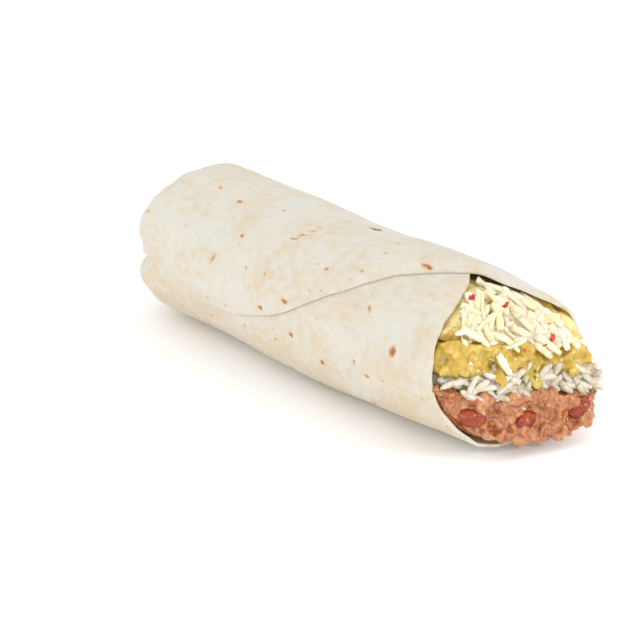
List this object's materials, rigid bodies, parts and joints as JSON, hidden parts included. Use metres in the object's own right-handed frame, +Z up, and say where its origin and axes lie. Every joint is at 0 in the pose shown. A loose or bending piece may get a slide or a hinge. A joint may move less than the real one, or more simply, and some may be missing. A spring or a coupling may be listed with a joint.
{
  "type": "burrito",
  "caption": "Flour tortilla rolled and folded shut at one end around refried beans, rice, green sauce and shredded cheese, open at the other end.",
  "frame": {"origin": "on the surface the burrito lies on, below the middle of its box", "axes": "+X along the roll towards its open mouth, +Z up, -Y towards the side with the flap's free edge"},
  "size_m": [0.1732, 0.0624, 0.0515],
  "materials": {
    "tortilla": "soft floury wheat dough with browned toast marks",
    "refried_beans": "moist lumpy bean paste",
    "rice": "cooked white rice with green herb flecks",
    "green_sauce": "wet translucent yellow-green sauce",
    "shredded_cheese": "pale cheese shreds, lightly moist",
    "bean_skin": "wet bean skin"
  },
  "bodies": {
    "root": {"tortilla": "tortilla", "refried_beans": "refried_beans", "rice": "rice", "green_sauce": "green_sauce", "shredded_cheese": "shredded_cheese", "whole_bean_left": "bean_skin", "whole_bean_middle": "bean_skin", "whole_bean_right": "bean_skin"}
  },
  "joints": []
}
